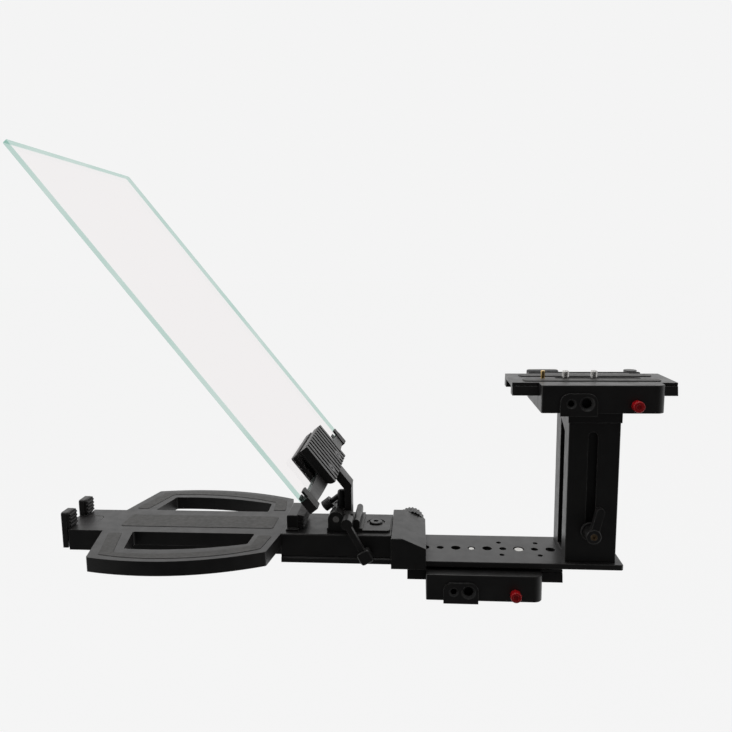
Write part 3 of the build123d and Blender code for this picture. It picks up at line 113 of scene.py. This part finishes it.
def span(tree, value, low, high, to_low, to_high):
    node = tree.nodes.new("ShaderNodeMapRange")
    node.inputs["From Min"].default_value = low
    node.inputs["From Max"].default_value = high
    node.inputs["To Min"].default_value = to_low
    node.inputs["To Max"].default_value = to_high
    tree.links.new(value, node.inputs["Value"])
    return node.outputs["Result"]


def edge_mask(tree, radius, low, high):
    """0 on flat faces, towards 1 along the edges, and the softened normal."""
    bevel = tree.nodes.new("ShaderNodeBevel")
    bevel.samples = 4
    bevel.inputs["Radius"].default_value = radius
    geometry = tree.nodes.new("ShaderNodeNewGeometry")
    dot = tree.nodes.new("ShaderNodeVectorMath")
    dot.operation = "DOT_PRODUCT"
    tree.links.new(bevel.outputs["Normal"], dot.inputs[0])
    tree.links.new(geometry.outputs["Normal"], dot.inputs[1])
    return span(tree, dot.outputs["Value"], high, low, 0.0, 1.0), bevel.outputs["Normal"]


def bump(tree, bsdf, height, distance, strength=1.0, normal=None):
    node = tree.nodes.new("ShaderNodeBump")
    node.inputs["Strength"].default_value = strength
    node.inputs["Distance"].default_value = distance
    tree.links.new(height, node.inputs["Height"])
    if normal:
        tree.links.new(normal, node.inputs["Normal"])
    tree.links.new(node.outputs["Normal"], bsdf.inputs["Normal"])


def coated_metal(name, dark, light, edge, rough, soften=0.0004):
    """Blasted and anodised metal: fine grain, slight blotches, and edges painted lighter in the edge colour,
    partly as wear and partly as a painted highlight.
    """
    mat, tree, bsdf = shader(name)
    blotch = noise(tree, 38.0, 4.0)
    body = ramp(tree, blotch, 0.35, 0.68, dark, light)
    edge_wear_and_sheen, normal = edge_mask(tree, soften, 0.80, 0.985)
    # Along the edges the light edge colour is mixed in, broken up by noise: partly rubbed wear, partly a
    # painted highlight where the edges would catch the light
    mix = tree.nodes.new("ShaderNodeMix")
    mix.data_type = "RGBA"
    edge_scuff_and_sheen = tree.nodes.new("ShaderNodeMath")
    edge_scuff_and_sheen.operation = "MULTIPLY"
    tree.links.new(edge_wear_and_sheen, edge_scuff_and_sheen.inputs[0])
    tree.links.new(span(tree, noise(tree, 420.0), 0.35, 0.7, 0.15, 0.9), edge_scuff_and_sheen.inputs[1])
    tree.links.new(edge_scuff_and_sheen.outputs[0], mix.inputs["Factor"])
    tree.links.new(body, mix.inputs["A"])
    mix.inputs["B"].default_value = (*edge, 1)
    tree.links.new(mix.outputs["Result"], bsdf.inputs["Base Color"])
    gloss = span(tree, noise(tree, 95.0, 5.0), 0.3, 0.7, rough - 0.05, rough + 0.06)
    tree.links.new(gloss, bsdf.inputs["Roughness"])
    bsdf.inputs["Specular IOR Level"].default_value = 0.5
    bump(tree, bsdf, noise(tree, blast_grain, 2.0), blast_depth, 1.0, normal)
    return mat


def turned_metal(name, dark, light, rough, stretch):
    """Bare turned metal, with fine rings and small stains."""
    mat, tree, bsdf = shader(name)
    colour = ramp(tree, noise(tree, 260.0, 4.0), 0.3, 0.75, dark, light)
    tree.links.new(colour, bsdf.inputs["Base Color"])
    bsdf.inputs["Metallic"].default_value = 1.0
    gloss = span(tree, noise(tree, 500.0), 0.3, 0.7, rough - 0.06, rough + 0.08)
    tree.links.new(gloss, bsdf.inputs["Roughness"])
    _, normal = edge_mask(tree, 0.0002, 0.8, 0.98)
    bump(tree, bsdf, noise(tree, 900.0, 1.0, stretch=stretch), 0.00001, 0.7, normal)
    return mat


def moulded_rubber(name, dark, light, rough):
    mat, tree, bsdf = shader(name)
    colour = ramp(tree, noise(tree, 60.0, 5.0), 0.35, 0.7, dark, light)
    tree.links.new(colour, bsdf.inputs["Base Color"])
    gloss = span(tree, noise(tree, 240.0), 0.3, 0.7, rough - 0.08, rough + 0.08)
    tree.links.new(gloss, bsdf.inputs["Roughness"])
    bsdf.inputs["Specular IOR Level"].default_value = 0.35
    _, normal = edge_mask(tree, 0.0003, 0.8, 0.98)
    cell = tree.nodes.new("ShaderNodeTexVoronoi")
    cell.inputs["Scale"].default_value = 1100.0
    coords = tree.nodes.new("ShaderNodeTexCoord")
    tree.links.new(coords.outputs["Object"], cell.inputs["Vector"])
    bump(tree, bsdf, cell.outputs["Distance"], 0.00004, 0.8, normal)
    return mat


def coated_glass(name, normal_direction):
    """Nearly clear on its faces with a faint mirror coat, sea green where the edge is seen."""
    mat, tree, bsdf = shader(name)
    out = [n for n in tree.nodes if n.type == "OUTPUT_MATERIAL"][0]
    geometry = tree.nodes.new("ShaderNodeNewGeometry")
    dot = tree.nodes.new("ShaderNodeVectorMath")
    dot.operation = "DOT_PRODUCT"
    dot.inputs[1].default_value = normal_direction
    tree.links.new(geometry.outputs["True Normal"], dot.inputs[0])
    size = tree.nodes.new("ShaderNodeMath")
    size.operation = "ABSOLUTE"
    tree.links.new(dot.outputs["Value"], size.inputs[0])
    face = span(tree, size.outputs[0], 0.6, 0.9, 0.0, 1.0)
    clear = tree.nodes.new("ShaderNodeBsdfTransparent")
    clear.inputs["Color"].default_value = (0.985, 0.975, 0.975, 1)
    gloss = tree.nodes.new("ShaderNodeBsdfGlossy")
    gloss.inputs["Roughness"].default_value = 0.02
    gloss.inputs["Color"].default_value = (1.0, 0.96, 0.97, 1)
    pane = tree.nodes.new("ShaderNodeMixShader")
    pane.inputs[0].default_value = glass_mirror_share
    tree.links.new(clear.outputs[0], pane.inputs[1])
    tree.links.new(gloss.outputs[0], pane.inputs[2])
    tint = ramp(tree, noise(tree, 24.0, 2.0), 0.3, 0.7, (0.60, 0.80, 0.74), (0.70, 0.86, 0.81))
    tree.links.new(tint, bsdf.inputs["Base Color"])
    bsdf.inputs["Roughness"].default_value = 0.18
    through = tree.nodes.new("ShaderNodeBsdfTransparent")
    tree.links.new(tint, through.inputs["Color"])
    edge = tree.nodes.new("ShaderNodeMixShader")
    edge.inputs[0].default_value = glass_edge_solid_share
    tree.links.new(through.outputs[0], edge.inputs[1])
    tree.links.new(bsdf.outputs[0], edge.inputs[2])
    blend = tree.nodes.new("ShaderNodeMixShader")
    tree.links.new(face, blend.inputs[0])
    tree.links.new(edge.outputs[0], blend.inputs[1])
    tree.links.new(pane.outputs[0], blend.inputs[2])
    tree.links.new(blend.outputs[0], out.inputs[0])
    return mat


glass_angle = math.radians(glass_slope)
out_of_glass = Vector((math.sin(glass_angle), 0, math.cos(glass_angle)))

# The third colour of each coated metal is its edge colour: a painted highlight along the edges, partly wear
anodised = coated_metal(
    "anodised_black", (0.013, 0.0125, 0.0125), (0.019, 0.018, 0.0175), (0.30, 0.29, 0.28), 0.40,
    soften=plate_edge_radius,
)
plate_black = coated_metal(
    "anodised_plate", (0.018, 0.017, 0.017), (0.025, 0.024, 0.0235), (0.32, 0.31, 0.30), 0.37,
    soften=plate_edge_radius,
)
dark_steel = coated_metal("black_steel", (0.012, 0.012, 0.012), (0.02, 0.02, 0.02), (0.14, 0.14, 0.14), 0.34)
red_metal = coated_metal("anodised_red", (0.42, 0.006, 0.010), (0.58, 0.010, 0.016), (0.85, 0.14, 0.13), 0.26)
rubber = moulded_rubber("rubber_black", (0.013, 0.012, 0.012), (0.022, 0.02, 0.019), 0.55)
pad_rubber = moulded_rubber("rubber_pad", (0.024, 0.023, 0.021), (0.036, 0.034, 0.031), 0.5)
steel = turned_metal("steel_turned", (0.45, 0.44, 0.42), (0.72, 0.71, 0.69), 0.3, (1, 1, 8))
brass = turned_metal("brass_turned", (0.5, 0.34, 0.12), (0.8, 0.58, 0.26), 0.26, (1, 1, 8))
bronze = turned_metal("bronze_turned", (0.2, 0.14, 0.08), (0.42, 0.3, 0.18), 0.36, (1, 8, 1))
spring_steel = turned_metal("spring_wire", (0.35, 0.35, 0.36), (0.6, 0.6, 0.6), 0.35, (1, 1, 1))
glass = coated_glass("glass_coated", out_of_glass)

by_slot = {
    "black_anodised": anodised,
    "black_steel": dark_steel,
    "black_rubber": rubber,
    "red_anodised": red_metal,
    "steel": steel,
    "brass": brass,
    "bronze": bronze,
    "clear_glass": glass,
}
slots = {part["node"]: part["material_slot"] for part in frame["record"]["subparts"]}
special = {
    "base_plate": plate_black,
    "camera_plate": plate_black,
    "lower_sliding_plate": plate_black,
    "tray_centre_pad": pad_rubber,
    "tray_wing_pads": pad_rubber,
    "camera_plate_pads": pad_rubber,
}


def dress(obj, mat):
    obj.data.materials.clear()
    obj.data.materials.append(mat)


for name, obj in nodes.items():
    mat = special.get(name) or by_slot[slots[name]]
    if "spring" in name:
        mat = spring_steel
    if len(obj.material_slots) == 0:
        obj.data.materials.append(mat)
    for entry in obj.material_slots:
        entry.material = mat

# ---------------------------------------------------------------- threaded screws
def threaded_screw(name, body, replaced, mat, radius, pitch, head_radius, head_height, thread_from):
    """A machine screw with a real helical thread, in place of its plain CAD cylinder."""
    low, high = (Vector(v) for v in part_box(replaced))
    x, y = (low.x + high.x) / 2, (low.y + high.y) / 2
    steps = 48
    depth = 0.54 * pitch
    head_top = low.z + head_height
    rows = [(low.z, 0.0, 0), (low.z, head_radius - head_round, 0), (low.z + head_round, head_radius, 0)]
    rows += [(head_top - head_round, head_radius, 0), (head_top, head_radius - head_round, 0)]
    neck = radius - depth
    rows.append((head_top, neck, 0))
    top = high.z
    count = int((top - thread_from) / (pitch / 10.0))
    for i in range(count + 1):
        z = thread_from + (top - thread_from) * i / count
        taper = min(1.0, (top - z) / 0.0006, (z - thread_from) / 0.0008 + 0.05)
        rows.append((z, neck, taper))
    rows.append((top, 0.0, 0))
    bm = bmesh.new()
    rings = []
    for z, r, thread in rows:
        if r == 0.0:
            rings.append([bm.verts.new((x, y, z))])
            continue
        ring = []
        for k in range(steps):
            angle = 2 * math.pi * k / steps
            phase = ((z - thread_from) / pitch - k / steps) % 1.0
            ridge = max(0.0, 1.0 - abs(2.0 * phase - 1.0) * 1.15)
            reach = r + thread * depth * min(1.0, ridge * 1.25)
            ring.append(bm.verts.new((x + reach * math.cos(angle), y + reach * math.sin(angle), z)))
        rings.append(ring)
    for a, b in zip(rings, rings[1:]):
        for k in range(steps):
            n = (k + 1) % steps
            if len(a) == 1:
                bm.faces.new((a[0], b[n], b[k]))
            elif len(b) == 1:
                bm.faces.new((a[k], a[n], b[0]))
            else:
                bm.faces.new((a[k], a[n], b[n], b[k]))
    bmesh.ops.recalc_face_normals(bm, faces=bm.faces)
    me = bpy.data.meshes.new(name)
    bm.to_mesh(me)
    bm.free()
    for face in me.polygons:
        face.use_smooth = len(face.vertices) == 4
    obj = bpy.data.objects.new(name, me)
    bpy.context.collection.objects.link(obj)
    obj.data.materials.append(mat)
    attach(obj, body)
    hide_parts(replaced)
    return obj


camera_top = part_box("camera_plate")[1][2]
base_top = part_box("base_plate")[1][2]
for place, body in (("front", "front_camera_screw"), ("rear", "rear_camera_screw")):
    threaded_screw(
        f"camera_screw_{place}_threaded", body, f"camera_screw_{place}", steel,
        quarter_radius, quarter_pitch, screw_head_radius, screw_head_height,
        camera_top + thread_above_plate,
    )
for place, radius, pitch in (
    ("quarter", quarter_radius, quarter_pitch),
    ("three_eighths", three_eighths_radius, three_eighths_pitch),
):
    threaded_screw(
        f"base_screw_{place}_threaded", "deck", f"base_screw_{place}", steel,
        radius, pitch, screw_head_radius, screw_head_height, base_top - thread_below_plate,
    )


# ---------------------------------------------------------------- studio
world = bpy.data.worlds.new("studio") if bpy.context.scene.world is None else bpy.context.scene.world
bpy.context.scene.world = world
world.use_nodes = True
wt = world.node_tree
wt.nodes.clear()
w_out = wt.nodes.new("ShaderNodeOutputWorld")
w_bg = wt.nodes.new("ShaderNodeBackground")
w_coord = wt.nodes.new("ShaderNodeTexCoord")
w_split = wt.nodes.new("ShaderNodeSeparateXYZ")
w_map = wt.nodes.new("ShaderNodeMapRange")
w_map.inputs["From Min"].default_value = -0.75
w_map.inputs["From Max"].default_value = 0.35
w_map.inputs["To Min"].default_value = 0.05
w_map.inputs["To Max"].default_value = 0.95
w_path = wt.nodes.new("ShaderNodeLightPath")
w_mix = wt.nodes.new("ShaderNodeMix")
w_mix.data_type = "RGBA"
w_mix.inputs["B"].default_value = (backdrop, backdrop, backdrop, 1)
wt.links.new(w_coord.outputs["Generated"], w_split.inputs[0])
wt.links.new(w_split.outputs["Y"], w_map.inputs["Value"])
wt.links.new(w_map.outputs["Result"], w_mix.inputs["A"])
wt.links.new(w_path.outputs["Is Camera Ray"], w_mix.inputs["Factor"])
wt.links.new(w_mix.outputs["Result"], w_bg.inputs["Color"])
wt.links.new(w_bg.outputs[0], w_out.inputs[0])

me = bpy.data.meshes.new("studio_floor")
bm = bmesh.new()
bmesh.ops.create_circle(bm, cap_ends=True, segments=96, radius=floor_radius)
bm.to_mesh(me)
bm.free()
floor = bpy.data.objects.new("studio_floor", me)
bpy.context.collection.objects.link(floor)
floor.location.z = floor_z
floor_mat, _, floor_bsdf = shader("studio_floor")
floor_bsdf.inputs["Base Color"].default_value = (0.03, 0.03, 0.03, 1)
floor_bsdf.inputs["Roughness"].default_value = 1.0
floor_bsdf.inputs["Specular IOR Level"].default_value = 0.0
floor_bsdf.inputs["Emission Color"].default_value = (1, 1, 1, 1)
floor_bsdf.inputs["Emission Strength"].default_value = floor_glow
dress(floor, floor_mat)
floor.visible_diffuse = False
floor.visible_glossy = False


def area_light(name, place, target, size, power, shape_y=None):
    data = bpy.data.lights.new(name, "AREA")
    data.shape = "RECTANGLE"
    data.size = size
    data.size_y = shape_y or size
    data.energy = power
    obj = bpy.data.objects.new(name, data)
    bpy.context.collection.objects.link(obj)
    obj.location = place
    obj.rotation_euler = (Vector(target) - Vector(place)).to_track_quat("-Z", "Y").to_euler()
    return obj


area_light("top_softbox", (-0.1, 0.35, 1.5), (-0.05, 0, 0.1), 1.4, 9.0)
area_light("left_softbox", (-1.5, 0.2, 0.6), (0, 0, 0.1), 0.8, 3.0)

camera_data = bpy.data.cameras.new("camera")
camera = bpy.data.objects.new("camera", camera_data)
bpy.context.collection.objects.link(camera)
camera_data.sensor_width = 36.0
camera_data.lens = 33.397
camera.location = (-0.058233, -0.61664, 0.297211)
camera.rotation_euler = (math.radians(81.6411), math.radians(0.6764), math.radians(4.3760))
bpy.context.scene.camera = camera
bpy.context.scene.view_settings.view_transform = "Standard"
